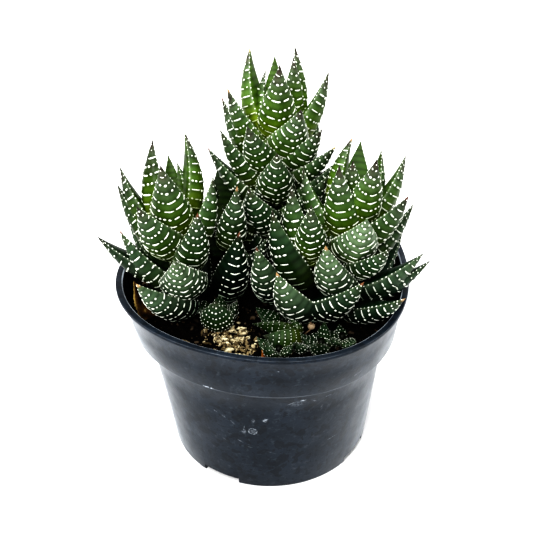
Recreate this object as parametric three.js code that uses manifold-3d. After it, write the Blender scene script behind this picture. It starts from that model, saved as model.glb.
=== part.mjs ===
// A zebra haworthia clump in a black nursery pot, in millimetres with Z up.
// The pot stands on z = 0 about the z axis and its front faces -Y.
import * as THREE from 'three';
import { mergeVertices } from 'three/addons/utils/BufferGeometryUtils.js';
import Module from 'manifold-3d';

const wasm = await Module();
wasm.setup();

// Driving dimensions of the pot.
const RIM_RADIUS = 52.5;
const POT_HEIGHT = 73.5;
const BASE_RADIUS = 37.1;
const NECK_RADIUS = 43.9;
const COLLAR_BOTTOM_RADIUS = 48.2;
const COLLAR_TOP_RADIUS = 51.0;
const COLLAR_BOTTOM = 53.6;
const LIP_HEIGHT = 1.4;
const LIP_WIDTH = 2.4;
const WALL = 1.3;
const FLOOR = 1.6;
const POT_SIDES = 40;

// Four drain notches under the wall, each roofed over and drilled.
const NOTCH_HEIGHT = 2.7;
const NOTCH_INNER_RADIUS = 28;
const NOTCH_WIDTH_DEG = 23;
const NOTCH_FIRST_DEG = -120;
const NOTCH_COUNT = 4;
const DRAIN_RADIUS = 2.6;

// The thin wall has gone out of round: twofold and threefold shares of the radius.
const OVAL = { cos2: 0.004, sin2: 0.028, cos3: -0.047, sin3: -0.018 };

// Soil and the clearance between pieces that touch.
const SOIL_TOP = 65;
const GAP = 0.3;
const SOIL_DIP = 1.6;

// Leaves: rings from root to tip, every second one standing out as a tubercle band.
const RING_PLACES = [0, 0.2, 0.32, 0.44, 0.56, 0.69, 0.82];
const PLAIN_RING_PLACES = [0, 0.3, 0.55, 0.8];
const BAND_RELIEF = 0.55;
const LEAF_CURL_DEG = 24;
const KEEL_SHARE = 0.96;
const INNER_SHARE = 0.18;
const GOLDEN = 0.618034;

// Stems: depth in the soil, and where the leaves' roots sit as a share of the radius.
const STEM_DEPTH = 12;
const PEG_RADIUS = 1.5;
const PEG_DEPTH = 8;
const PEG_RISE = 2.5;
const ROOT_SHARE = 0.85;

// The seed husk and the foot of its stalk.
const HUSK_PLACE = new THREE.Vector3(14.5, -25.5, 67.2);
const STALK_FOOT = new THREE.Vector3(11.8, -27.2, 65.4);

const deg = (angle) => (angle * Math.PI) / 180;

// Repeatable draw between 0 and 1 for a whole-number seed.
function draw(seed) {
  const wave = Math.sin(seed * 12.9898 + 4.1414) * 43758.5453;
  return wave - Math.floor(wave);
}

// Closed geometry to solid and back.
function toSolid(geometry) {
  const bare = geometry.clone();
  bare.deleteAttribute('normal');
  bare.deleteAttribute('uv');
  const merged = mergeVertices(bare, 1e-4);
  const vertProperties = new Float32Array(merged.attributes.position.array);
  const triVerts = new Uint32Array(merged.index.array);
  return new wasm.Manifold(new wasm.Mesh({ numProp: 3, vertProperties, triVerts }));
}

function toGeometry(solid) {
  const mesh = solid.getMesh();
  const geometry = new THREE.BufferGeometry();
  const places = new Float32Array(mesh.vertProperties);
  geometry.setAttribute('position', new THREE.BufferAttribute(places, 3));
  geometry.setIndex(new THREE.BufferAttribute(new Uint32Array(mesh.triVerts), 1));
  return geometry;
}

function joined(solids) {
  let whole = solids[0];
  for (const solid of solids.slice(1)) whole = whole.add(solid);
  return whole;
}

// Keeps the biggest connected body of a geometry and drops the scraps of a cut.
function biggestBody(geometry) {
  const index = geometry.index.array;
  const parent = Array.from({ length: geometry.attributes.position.count }, (_, i) => i);
  const find = (i) => {
    let at = i;
    while (parent[at] !== at) {
      parent[at] = parent[parent[at]];
      at = parent[at];
    }
    return at;
  };
  for (let i = 0; i < index.length; i += 3) {
    parent[find(index[i])] = find(index[i + 1]);
    parent[find(index[i + 1])] = find(index[i + 2]);
  }
  const counts = new Map();
  for (let i = 0; i < index.length; i += 3) {
    const root = find(index[i]);
    counts.set(root, (counts.get(root) ?? 0) + 1);
  }
  const [kept] = [...counts].sort((a, b) => b[1] - a[1])[0];
  const faces = [];
  for (let i = 0; i < index.length; i += 3) {
    if (find(index[i]) === kept) faces.push(index[i], index[i + 1], index[i + 2]);
  }
  const body = geometry.clone();
  body.setIndex(faces);
  return body;
}

// Out-of-round share of the radius at an angle, none at the stiff base and full at the lip.
function ovalShare(angle, z) {
  const rise = Math.min(1, Math.max(0, z / POT_HEIGHT));
  const wave = OVAL.cos2 * Math.cos(2 * angle) + OVAL.sin2 * Math.sin(2 * angle)
    + OVAL.cos3 * Math.cos(3 * angle) + OVAL.sin3 * Math.sin(3 * angle);
  return 1 + wave * rise ** 1.5;
}

function makeOval(geometry) {
  const place = geometry.attributes.position;
  for (let i = 0; i < place.count; i += 1) {
    const x = place.getX(i);
    const y = place.getY(i);
    const share = ovalShare(Math.atan2(y, x), place.getZ(i));
    place.setXY(i, x * share, y * share);
  }
  return geometry;
}

// Turned body about the z axis from [radius, height] points that start and end on the axis.
function turned(points) {
  const outline = points.map(([radius, height]) => new THREE.Vector2(radius, height));
  const geometry = new THREE.LatheGeometry(outline, POT_SIDES);
  geometry.rotateX(Math.PI / 2);
  return toSolid(geometry);
}

// Sector-shaped block between two radii, centred on an angle.
function sectorBlock(inner, outer, centreDeg, widthDeg, low, high) {
  const steps = 6;
  const points = [];
  for (let i = 0; i <= steps; i += 1) {
    const angle = deg(centreDeg - widthDeg / 2 + (widthDeg * i) / steps);
    points.push(new THREE.Vector2(outer * Math.cos(angle), outer * Math.sin(angle)));
  }
  for (let i = steps; i >= 0; i -= 1) {
    const angle = deg(centreDeg - widthDeg / 2 + (widthDeg * i) / steps);
    points.push(new THREE.Vector2(inner * Math.cos(angle), inner * Math.sin(angle)));
  }
  const options = { depth: high - low, bevelEnabled: false };
  const geometry = new THREE.ExtrudeGeometry(new THREE.Shape(points), options);
  geometry.translate(0, 0, low);
  return toSolid(geometry);
}

function notchAngles() {
  return Array.from({ length: NOTCH_COUNT }, (_, i) => NOTCH_FIRST_DEG + (360 * i) / NOTCH_COUNT);
}

// The raised roofs over the notches, inside the pot; grown by the gap for the soil's cut.
function notchRoofs(grow) {
  const inner = NOTCH_INNER_RADIUS - FLOOR - grow;
  const top = NOTCH_HEIGHT + FLOOR + grow;
  const width = NOTCH_WIDTH_DEG + 5 + grow * 2;
  return joined(notchAngles().map((at) => sectorBlock(inner, 48, at, width, 0.2, top)));
}

function buildPot() {
  const lipBottom = POT_HEIGHT - LIP_HEIGHT;
  const body = turned([
    [0, 0],
    [BASE_RADIUS, 0],
    [NECK_RADIUS, COLLAR_BOTTOM - 0.4],
    [COLLAR_BOTTOM_RADIUS - 0.3, COLLAR_BOTTOM],
    [COLLAR_BOTTOM_RADIUS, COLLAR_BOTTOM + 0.5],
    [COLLAR_TOP_RADIUS, lipBottom],
    [RIM_RADIUS - 0.2, lipBottom],
    [RIM_RADIUS, lipBottom + 0.3],
    [RIM_RADIUS, POT_HEIGHT - 0.3],
    [RIM_RADIUS - 0.3, POT_HEIGHT],
    [0, POT_HEIGHT],
  ]);
  const hollow = turned([
    [0, FLOOR],
    [BASE_RADIUS - WALL + 0.2, FLOOR],
    [NECK_RADIUS - WALL, COLLAR_BOTTOM + 0.4],
    [NECK_RADIUS - WALL + 0.3, COLLAR_BOTTOM + 1.0],
    [COLLAR_BOTTOM_RADIUS - WALL - 0.2, COLLAR_BOTTOM + 1.6],
    [RIM_RADIUS - LIP_WIDTH, POT_HEIGHT - 0.3],
    [RIM_RADIUS - LIP_WIDTH + 0.3, POT_HEIGHT],
    [RIM_RADIUS - LIP_WIDTH + 0.3, POT_HEIGHT + 2],
    [0, POT_HEIGHT + 2],
  ]);
  let pot = body.subtract(hollow.subtract(notchRoofs(0)));
  for (const at of notchAngles()) {
    pot = pot.subtract(
      sectorBlock(NOTCH_INNER_RADIUS, BASE_RADIUS + 5, at, NOTCH_WIDTH_DEG, -1, NOTCH_HEIGHT),
    );
    const drain = new THREE.CylinderGeometry(DRAIN_RADIUS, DRAIN_RADIUS, 8, 16);
    drain.rotateX(Math.PI / 2);
    drain.translate(32 * Math.cos(deg(at)), 32 * Math.sin(deg(at)), NOTCH_HEIGHT);
    pot = pot.subtract(toSolid(drain));
  }
  return makeOval(toGeometry(pot));
}

// Stems: where each leaves the soil, where its crown is, and how tall it stands.
// Leaf rows: [direction in degrees, height up the stem, lean in degrees, length, width].
// A direction of -90 faces the front and 0 the right; the leaf's tip is more upright
// than its root by the curl. Small and hidden leaves are marked plain.
const ROSETTES = {
  rosette_back: {
    root: [1, 8],
    crown: [3, 24],
    height: 54,
    radius: 3.6,
    leaves: [
      [165, 54.5, 27, 30, 13.5],
      [-91, 54, 43, 32, 13.5],
      [-15, 54, 16, 31, 11.5],
      [-52, 54, 21, 28, 11],
      [-17, 51, 42, 30, 12.5],
      [-150, 48, 49, 29, 12.5],
      [-170, 42, 47, 30, 11.5],
      [-145, 36, 57, 30, 12.5],
      [-112, 43, 65, 31, 14],
      [-76, 49, 65, 32, 15],
      [-91, 33, 63, 32, 14],
      [-59, 44, 68, 30, 13],
      [-43, 38, 69, 29, 12],
      [-168, 30, 62, 29, 12],
      [-109, 22, 67, 32, 15],
      [95, 55, 39, 26, 10, 'plain'],
      [178, 54, 16, 22, 8, 'plain'],
      [-30, 30, 64, 28, 12, 'plain'],
      [-48, 24, 62, 31, 13, 'plain'],
      [-135, 12, 62, 30, 13, 'plain'],
      [-75, 8, 62, 30, 13, 'plain'],
    ],
    behind: { count: 6, from: 20, span: 140, low: 4, high: 32, lean: 62, length: 31, width: 13 },
  },
  rosette_middle: {
    root: [-16, -9],
    crown: [-14, 4],
    height: 26,
    radius: 3.0,
    leaves: [
      [-87, 22, 57, 32, 10.5],
      [-83, 5, 53, 32, 12.5],
      [102, 26, 49, 30, 11],
      [-38, 9, 52, 22, 10, 'plain'],
      [-25, 22, 30, 27, 10, 'plain'],
    ],
    behind: { count: 2, from: 50, span: 110, low: 8, high: 16, lean: 55, length: 27, width: 11 },
  },
  rosette_inner: {
    root: [14, -15],
    crown: [15, -6],
    height: 24,
    radius: 3.0,
    leaves: [
      [-59, 4, 74, 32, 15.5],
      [-116, 2, 65, 32, 14.5],
      [-136, 13, 45, 32, 14.5],
      [-127, 20, 33, 30, 12.5],
      [-95, 23, 59, 32, 11.5],
      [-30, 18, 35, 27, 10, 'plain'],
    ],
    behind: { count: 2, from: 50, span: 110, low: 3, high: 9, lean: 55, length: 26, width: 11 },
  },
  rosette_front: {
    root: [2, -9],
    crown: [1, -3],
    height: 10,
    radius: 2.6,
    leaves: [
      [-96, 4, 66, 31, 12],
      [-20, 7, 40, 18, 9, 'plain'],
      [-165, 7, 40, 18, 9, 'plain'],
    ],
    behind: { count: 2, from: 60, span: 60, low: 5, high: 9, lean: 40, length: 16, width: 8 },
  },
  rosette_left: {
    root: [-28, -13],
    crown: [-35, 0],
    height: 38,
    radius: 3.4,
    leaves: [
      [-141, 32, 9, 31, 12.5],
      [-146, 29, 10, 26, 9.5],
      [14, 34, 26, 30, 13.5],
      [-81, 31, 46, 32, 14.5],
      [-174, 29, 35, 29, 12.5],
      [-178, 23, 39, 30, 11.5],
      [-103, 25, 60, 32, 14.5],
      [-151, 11, 47, 30, 12.5],
      [-173, 14, 64, 31, 13.5],
      [-114, 4, 70, 31, 15],
      [-84, 12, 73, 32, 16.5],
      [-62, 18, 58, 32, 13],
      [-24, 23, 45, 30, 12.5],
      [85, 35, 36, 21, 8, 'plain'],
      [27, 35, 21, 18, 8, 'plain'],
    ],
    behind: { count: 5, from: 80, span: 85, low: 4, high: 18, lean: 60, length: 30, width: 13 },
  },
  rosette_right: {
    root: [26, -11],
    crown: [29, -1],
    height: 38,
    radius: 3.5,
    leaves: [
      [166, 36, 10, 26, 12],
      [82, 33, 60, 31, 12.5],
      [24, 30, 25, 28, 11],
      [-77, 34, 44, 31, 13.5],
      [-112, 29, 43, 33, 13.5],
      [-8, 32, 40, 29, 12.5],
      [-50, 27, 58, 31, 13.5],
      [-14, 18, 50, 30, 11],
      [-27, 8, 66, 31, 14],
      [-18, 5, 69, 32, 12],
      [-56, 1.6, 78, 32, 14],
      [-69, 17, 72, 31, 12],
      [-86, 24, 66, 32, 16],
      [-113, 9, 58, 31, 15],
      [-169, 26, 44, 30, 13.5],
      [-101, 38, 40, 22, 9.5, 'plain'],
    ],
    behind: { count: 5, from: 35, span: 105, low: 4, high: 20, lean: 60, length: 30, width: 13 },
  },
};

// Young offsets at the front of the pot, rooted by an upright peg; the crown only tilts
// their leaves.
const OFFSETS = {
  offset_left: {
    root: [-18, -18.5],
    leaves: [
      [-97, 0.5, 32, 12, 12],
      [-5, 1, 50, 9, 7.5],
      [165, 0.5, 58, 10, 8],
      [85, 1, 30, 7, 6],
    ],
  },
  offset_centre: {
    root: [4.5, -22],
    leaves: [
      [157, 0.5, 80, 10, 7.5],
      [-65, 0.5, 60, 6, 5],
      [40, 1, 40, 7, 5],
    ],
  },
  offset_front_left: {
    root: [9, -30],
    crown: [0, -31],
    leaves: [
      [-90, 0, 14, 12.5, 10.5],
      [105, 0, 22, 16, 6.5],
      [20, 0, 70, 7, 6],
    ],
  },
  offset_front_low: {
    root: [3, -38],
    leaves: [
      [155, 0.5, 75, 8, 6],
      [-150, 0.5, 40, 8, 6.5],
      [-25, 1, 55, 6, 5],
    ],
  },
  offset_front_middle: {
    root: [12, -33.5],
    leaves: [
      [-122, 0.5, 60, 7, 6],
      [20, 1, 60, 5, 4],
      [-50, 0.5, 65, 5, 4],
    ],
  },
  offset_front_right: {
    root: [17.5, -34.5],
    leaves: [
      [70, 0.5, 30, 8, 5],
      [-100, 0.5, 50, 8, 7],
      [178, 0.5, 60, 8, 5],
    ],
  },
  offset_right_edge: {
    root: [25, -31.5],
    leaves: [
      [175, 0.5, 76, 8, 7],
      [-50, 0.5, 72, 6.5, 5.5],
      [-135, 0.5, 62, 7, 4],
      [100, 0.5, 70, 5, 4.5],
    ],
  },
};

// Share of the full width along a leaf, widest a third of the way up.
function widthShare(s) {
  return 1.13 * (1 - s ** 1.65) * (0.8 + 1.05 * s * (1 - s));
}

// A stem's foot and direction as vectors.
function stemFrame({ root, crown, height }) {
  const foot = new THREE.Vector3(root[0], root[1], SOIL_TOP + 1);
  const top = new THREE.Vector3(crown[0], crown[1], SOIL_TOP + 1 + height);
  return { foot, along: top.clone().sub(foot).normalize() };
}

// Place and axes on the curved midline of a leaf, from root (0) to tip (1).
function leafFrame(stem, row, s) {
  const [direction, height, lean, length] = row;
  const { foot, along } = stemFrame(stem);
  const out = new THREE.Vector3(Math.cos(deg(direction)), Math.sin(deg(direction)), 0);
  out.addScaledVector(along, -out.dot(along)).normalize();
  const side = new THREE.Vector3().crossVectors(along, out);
  const start = deg(lean);
  const bend = -deg(LEAF_CURL_DEG);
  const tilt = start + bend * s;
  const reach = (length / bend) * (Math.cos(start) - Math.cos(tilt));
  const rise = (length / bend) * (Math.sin(tilt) - Math.sin(start));
  const away = reach + ROOT_SHARE * stem.radius;
  const place = foot.clone().addScaledVector(along, height + rise).addScaledVector(out, away);
  const face = out.clone().multiplyScalar(Math.cos(tilt)).addScaledVector(along, -Math.sin(tilt));
  return { place, side, face };
}

// Closed leaf: five-sided rings, keeled outside and nearly flat inside, ending in a point.
// Small and hidden leaves are plain: they have half the rings and no bands.
function leafSolid(stem, row, grow = 0) {
  const half = row[4] / 2;
  const plain = row[5] === 'plain';
  const ringPlaces = plain ? PLAIN_RING_PLACES : RING_PLACES;
  const places = [];
  const faces = [];
  const section = [[-1, 0], [-0.52, 0.85], [0.52, 0.85], [1, 0], [0, -1]];
  const count = section.length;
  ringPlaces.forEach((s, ring) => {
    const { place, side, face } = leafFrame(stem, row, s);
    const band = !plain && ring % 2 === 0 && ring > 0 ? BAND_RELIEF : 0;
    const wide = half * widthShare(s) + band * 0.5 + grow;
    const keel = half * KEEL_SHARE * widthShare(s) + band + grow;
    const inner = half * INNER_SHARE * widthShare(s) + 0.25 + grow;
    for (const [across, out] of section) {
      const point = place.clone().addScaledVector(side, across * wide);
      point.addScaledVector(face, out > 0 ? out * keel : out * inner);
      places.push(point.x, point.y, point.z);
    }
  });
  const last = ringPlaces.length - 1;
  for (let ring = 0; ring < last; ring += 1) {
    for (let i = 0; i < count; i += 1) {
      const a = ring * count + i;
      const b = ring * count + ((i + 1) % count);
      faces.push(a, b, a + count, b, b + count, a + count);
    }
  }
  const tip = leafFrame(stem, row, 1).place;
  const tipIndex = places.length / 3;
  places.push(tip.x, tip.y, tip.z);
  for (let i = 0; i < count; i += 1) {
    faces.push(last * count + i, last * count + ((i + 1) % count), tipIndex);
  }
  for (let i = 1; i < count - 1; i += 1) faces.push(0, i + 1, i);
  const geometry = new THREE.BufferGeometry();
  geometry.setAttribute('position', new THREE.Float32BufferAttribute(places, 3));
  geometry.setIndex(faces);
  return toSolid(geometry);
}

// Leaves round the back of a stem, spread by the golden section and more upright higher up.
function rowsBehind({ count, from, span, low, high, lean, length, width }) {
  return Array.from({ length: count }, (_, i) => {
    const rise = i / (count - 1);
    const direction = from + span * ((i * GOLDEN) % 1);
    return [direction, low + (high - low) * rise, lean - 22 * rise, length, width, 'plain'];
  });
}

// Straight rod between two places, with a radius at each.
function rodSolid(from, to, fromRadius, toRadius, sides) {
  const along = to.clone().sub(from);
  const geometry = new THREE.CylinderGeometry(toRadius, fromRadius, along.length(), sides);
  const turn = new THREE.Quaternion();
  turn.setFromUnitVectors(new THREE.Vector3(0, 1, 0), along.clone().normalize());
  geometry.applyQuaternion(turn);
  const middle = from.clone().addScaledVector(along, 0.5);
  geometry.translate(middle.x, middle.y, middle.z);
  return toSolid(geometry);
}

// Round stem from under the soil to just below the crown; an offset has an upright peg.
function stemSolid(stem, grow = 0) {
  const { foot, along } = stemFrame(stem);
  const radius = stem.radius + grow;
  if (stem.peg) {
    const deep = foot.clone().setZ(SOIL_TOP - PEG_DEPTH - grow);
    const top = foot.clone().setZ(SOIL_TOP + PEG_RISE);
    return rodSolid(deep, top, radius, radius, 8);
  }
  const low = foot.clone().addScaledVector(along, -STEM_DEPTH - grow);
  const high = foot.clone().addScaledVector(along, stem.height);
  return rodSolid(low, high, radius, stem.radius * 0.7 + grow, 8);
}

// Everything below the soil's surface, to trim leaves that would dip into it.
function underSoil() {
  const block = new THREE.BoxGeometry(200, 200, 60);
  block.translate(0, 0, SOIL_TOP + GAP - 30);
  return toSolid(block);
}

function plantSolid(stem, rows, grow = 0) {
  const leaves = joined(rows.map((row) => leafSolid(stem, row, grow)));
  return leaves.subtract(underSoil()).add(stemSolid(stem, grow));
}

// An offset's leaves are all plain, and its peg ends inside them.
function offsetPlant({ root, crown = root, leaves }) {
  const stem = { root, crown, height: 2.8, radius: PEG_RADIUS, peg: true };
  return { stem, rows: leaves.map((row) => [...row, 'plain']) };
}

// Potting soil filling the pot, its surface sunk here and there between the plants.
function buildSoil(holes) {
  const inner = RIM_RADIUS - LIP_WIDTH;
  const wallShare = (SOIL_TOP - COLLAR_BOTTOM - 1.6) / (POT_HEIGHT - 1.9 - COLLAR_BOTTOM);
  const foot = COLLAR_BOTTOM_RADIUS - WALL - 0.2;
  const edge = foot + (inner - foot) * wallShare - GAP;
  const outline = [
    [BASE_RADIUS - WALL + 0.2 - GAP, FLOOR + GAP],
    [NECK_RADIUS - WALL - GAP, COLLAR_BOTTOM + 0.4 + GAP],
    [NECK_RADIUS - WALL + 0.3 - GAP, COLLAR_BOTTOM + 1.0 + GAP],
    [foot - GAP, COLLAR_BOTTOM + 1.6 + GAP],
    [edge, SOIL_TOP],
    [edge * 0.84, SOIL_TOP],
    [edge * 0.6, SOIL_TOP],
    [edge * 0.3, SOIL_TOP],
  ];
  const places = [0, 0, FLOOR + GAP];
  const faces = [];
  outline.forEach(([radius, height], ring) => {
    for (let i = 0; i < POT_SIDES; i += 1) {
      const angle = (2 * Math.PI * i) / POT_SIDES;
      const x = radius * Math.cos(angle);
      const y = radius * Math.sin(angle);
      const level = y < -12 ? 0 : SOIL_DIP * draw(ring * 101 + i);
      places.push(x, y, ring > 4 ? height - level : height);
    }
  });
  const top = places.length / 3;
  places.push(0, 0, SOIL_TOP - SOIL_DIP);
  for (let i = 0; i < POT_SIDES; i += 1) {
    const next = (i + 1) % POT_SIDES;
    faces.push(0, 1 + next, 1 + i);
    for (let ring = 0; ring < outline.length - 1; ring += 1) {
      const a = 1 + ring * POT_SIDES + i;
      const b = 1 + ring * POT_SIDES + next;
      faces.push(a, b, a + POT_SIDES, b, b + POT_SIDES, a + POT_SIDES);
    }
    const last = 1 + (outline.length - 1) * POT_SIDES;
    faces.push(last + i, last + next, top);
  }
  const geometry = new THREE.BufferGeometry();
  geometry.setAttribute('position', new THREE.Float32BufferAttribute(places, 3));
  geometry.setIndex(faces);
  makeOval(geometry);
  let soil = toSolid(geometry);
  const roofs = toGeometry(notchRoofs(GAP));
  soil = soil.subtract(toSolid(makeOval(roofs)));
  for (const hole of holes) soil = soil.subtract(hole);
  return toGeometry(soil);
}

// A patch of pale pumice grains pressed together, flat where it lies on the soil.
function buildGravel(keepClear) {
  const grains = [];
  const spacing = 4.4;
  const rows = 5;
  for (let row = 0; row < rows; row += 1) {
    for (let i = 0; i < rows - row; i += 1) {
      const seed = row * 17 + i * 5 + 3;
      const size = 3.0 + 0.9 * draw(seed);
      const grain = new THREE.IcosahedronGeometry(size, 0);
      grain.rotateX(6 * draw(seed + 0.3));
      grain.rotateY(6 * draw(seed + 0.6));
      grain.scale(1.05, 0.95, 0.72);
      const x = -7 - spacing * i + 0.8 * draw(seed + 1.2);
      const y = -37 + spacing * (row + 0.3 * i) + 0.8 * draw(seed + 1.7);
      grain.translate(x, y, SOIL_TOP + GAP + 0.3 + 0.5 * draw(seed + 2.1));
      grains.push(toSolid(grain));
    }
  }
  let patch = joined(grains).subtract(underSoil());
  for (const other of keepClear) patch = patch.subtract(other);
  return biggestBody(toGeometry(patch));
}

// A shrivelled brown leaf leaning between the soil and the left of the wall.
function buildDryLeaf(keepClear) {
  const root = [-42.5, -19];
  const stem = { root, crown: root, height: 10, radius: 0 };
  let leaf = leafSolid(stem, [118, -2, 61, 17, 7.5, 'plain']).subtract(underSoil());
  for (const other of keepClear) leaf = leaf.subtract(other);
  return biggestBody(toGeometry(leaf));
}

// An orange flake of old leaf standing between the grains' edge and the offsets.
function buildDryFlake(keepClear) {
  const root = [-1.2, -42];
  const stem = { root, crown: root, height: 10, radius: 0 };
  let flake = leafSolid(stem, [100, -1, 68, 7, 4, 'plain']).subtract(underSoil());
  for (const other of keepClear) flake = flake.subtract(other);
  return biggestBody(toGeometry(flake));
}

// A tan seed husk on its short stalk.
function buildSeedHusk() {
  const husk = new THREE.IcosahedronGeometry(1.6, 0);
  husk.scale(1.2, 1, 0.9);
  husk.translate(HUSK_PLACE.x, HUSK_PLACE.y, HUSK_PLACE.z);
  const stalk = rodSolid(HUSK_PLACE, STALK_FOOT, 0.5, 0.45, 6);
  return toGeometry(toSolid(husk).add(stalk).subtract(underSoil()));
}

const COLOURS = {
  pot: 0x24262b,
  soil: 0x1d1813,
  gravel_patch: 0xbfae84,
  dry_leaf: 0x7a4f24,
  dry_flake: 0xa0602c,
  seed_husk: 0xb99a6a,
  plant: 0x3d6a2c,
};

function buildAll() {
  const pieces = {};
  const grown = {};
  const solids = {};
  const plants = {};
  const holes = [];
  for (const [name, stem] of Object.entries(ROSETTES)) {
    plants[name] = { stem, rows: [...stem.leaves, ...rowsBehind(stem.behind)] };
  }
  for (const [name, offset] of Object.entries(OFFSETS)) plants[name] = offsetPlant(offset);
  for (const [name, { stem, rows }] of Object.entries(plants)) {
    solids[name] = plantSolid(stem, rows);
    grown[name] = plantSolid(stem, rows, GAP);
    holes.push(stemSolid(stem, GAP));
  }
  // Where two plants' leaves press together the later one gives way.
  const order = [
    'rosette_left',
    'rosette_right',
    'rosette_inner',
    'rosette_middle',
    'rosette_front',
    'rosette_back',
    ...Object.keys(OFFSETS),
  ];
  order.forEach((name, place) => {
    let solid = solids[name];
    for (const earlier of order.slice(0, place)) solid = solid.subtract(grown[earlier]);
    pieces[name] = biggestBody(toGeometry(solid));
  });
  pieces.pot = buildPot();
  pieces.soil = buildSoil(holes);
  pieces.gravel_patch = buildGravel(order.map((name) => grown[name]));
  pieces.dry_leaf = buildDryLeaf([grown.rosette_left, grown.offset_left]);
  pieces.dry_flake = buildDryFlake([grown.offset_front_low, grown.offset_front_left]);
  pieces.seed_husk = buildSeedHusk();
  return pieces;
}

const group = new THREE.Group();
group.name = 'potted_haworthia';
for (const [name, geometry] of Object.entries(buildAll())) {
  geometry.computeVertexNormals();
  const colour = COLOURS[name] ?? COLOURS.plant;
  const material = new THREE.MeshStandardMaterial({ color: colour, roughness: 0.6 });
  const mesh = new THREE.Mesh(geometry, material);
  mesh.name = name;
  group.add(mesh);
}

export default group;
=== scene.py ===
"""Looks of a zebra haworthia clump in a black nursery pot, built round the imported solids.

Lengths are millimetres in this file and become metres where a piece is made. Only the floor
and the lamps are placed in metres.
The pot stands on z = 0 about the z axis, and its front faces -Y.
"""

import math

import bmesh
import bpy
import numpy as np
from mathutils import Matrix, Vector, noise


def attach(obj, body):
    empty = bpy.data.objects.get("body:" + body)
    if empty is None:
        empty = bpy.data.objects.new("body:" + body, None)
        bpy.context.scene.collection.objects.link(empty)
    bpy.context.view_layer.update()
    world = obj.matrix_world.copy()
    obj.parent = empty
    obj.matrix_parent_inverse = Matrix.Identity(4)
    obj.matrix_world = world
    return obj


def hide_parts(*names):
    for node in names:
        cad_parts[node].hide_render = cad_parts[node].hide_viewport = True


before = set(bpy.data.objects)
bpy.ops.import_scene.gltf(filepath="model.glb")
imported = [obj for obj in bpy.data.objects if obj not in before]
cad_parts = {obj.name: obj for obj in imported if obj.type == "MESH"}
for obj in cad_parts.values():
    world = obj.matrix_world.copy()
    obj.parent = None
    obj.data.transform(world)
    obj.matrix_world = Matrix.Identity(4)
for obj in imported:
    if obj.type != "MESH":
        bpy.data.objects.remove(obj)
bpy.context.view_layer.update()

MM = 0.001

# The pot, as in the CAD source.
RIM_RADIUS = 52.5
POT_HEIGHT = 73.5
BASE_RADIUS = 37.1
NECK_RADIUS = 43.9
COLLAR_BOTTOM_RADIUS = 48.2
COLLAR_TOP_RADIUS = 51.0
COLLAR_BOTTOM = 53.6
LIP_HEIGHT = 1.4
LIP_WIDTH = 2.4
WALL = 1.3
FLOOR = 1.6
NOTCH_HEIGHT = 2.7
NOTCH_INNER_RADIUS = 28
NOTCH_WIDTH_DEG = 23
NOTCH_DEGS = (-120, -30, 60, 150)
DRAIN_RADIUS = 2.6
DRAIN_PLACE = 32
SOIL_TOP = 65
OVAL = {"cos2": 0.004, "sin2": 0.028, "cos3": -0.047, "sin3": -0.018}

# Leaves, as in the CAD source.
LEAF_CURL = math.radians(24)
KEEL_SHARE = 0.96
INNER_SHARE = 0.18
GOLDEN = 0.618034
ROOT_SHARE = 0.85

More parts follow.
